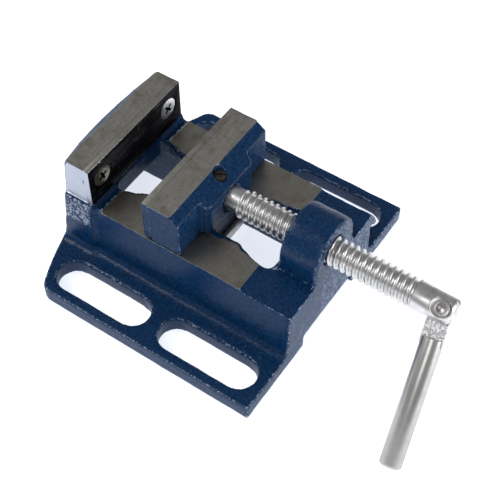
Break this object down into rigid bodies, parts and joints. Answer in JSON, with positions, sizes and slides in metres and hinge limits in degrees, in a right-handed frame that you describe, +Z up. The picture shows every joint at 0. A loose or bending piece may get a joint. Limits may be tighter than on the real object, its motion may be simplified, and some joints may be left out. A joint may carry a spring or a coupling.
{
  "type": "drill press vise",
  "caption": "Cast drill-press vise with slotted flanges, plated jaws, a threaded spindle and a folding handle",
  "frame": {"origin": "under the middle of the whole vise's bounding box, on the plane of its underside", "axes": "+X along the spindle from the fixed jaw to the handle, +Y across the jaws to the far side, +Z up"},
  "size_m": [0.19, 0.128, 0.0597],
  "materials": {
    "enamel": "dark blue enamel over rough sand casting, glossy",
    "black_steel": "black oxide, faintly scratched, ground top edge",
    "zinc": "bright zinc plate",
    "steel": "bright turned steel",
    "dark_steel": "dull grey steel"
  },
  "bodies": {
    "base": {"base_casting": "enamel", "fixed_jaw_plate": "black_steel", "fixed_jaw_screw_near": "zinc", "fixed_jaw_screw_far": "zinc"},
    "slide": {"moving_jaw": "enamel", "moving_jaw_plate": "black_steel", "moving_jaw_screw_near": "zinc", "moving_jaw_screw_far": "zinc", "keeper_plate": "steel", "keeper_washer_back": "zinc", "keeper_washer_front": "zinc", "keeper_screw_back": "zinc", "keeper_screw_front": "zinc", "spindle_retaining_screw": "dark_steel"},
    "screw": {"spindle": "steel", "handle_pin": "dark_steel"},
    "handle": {"handle_bar": "zinc"}
  },
  "joints": [
    {"name": "jaw_slide", "type": "slide", "parent": "base", "child": "slide", "axis": [1, 0, 0], "range_m": [-0.0277, 0.0295]},
    {"name": "spindle_turn", "type": "hinge", "parent": "slide", "child": "screw", "pos_m": [0, 0, 0.0462], "axis": [1, 0, 0], "range_deg": [-3324.1, 3540.1]},
    {"name": "handle_fold", "type": "hinge", "parent": "screw", "child": "handle", "pos_m": [0.08057, 0, 0.0462], "axis": [0, -0.6166, 0.7873], "range_deg": [-15, 178]}
  ],
  "couplings": [
    {"joint": "spindle_turn", "follows": "jaw_slide", "rad_per_m": 2094.4}
  ]
}
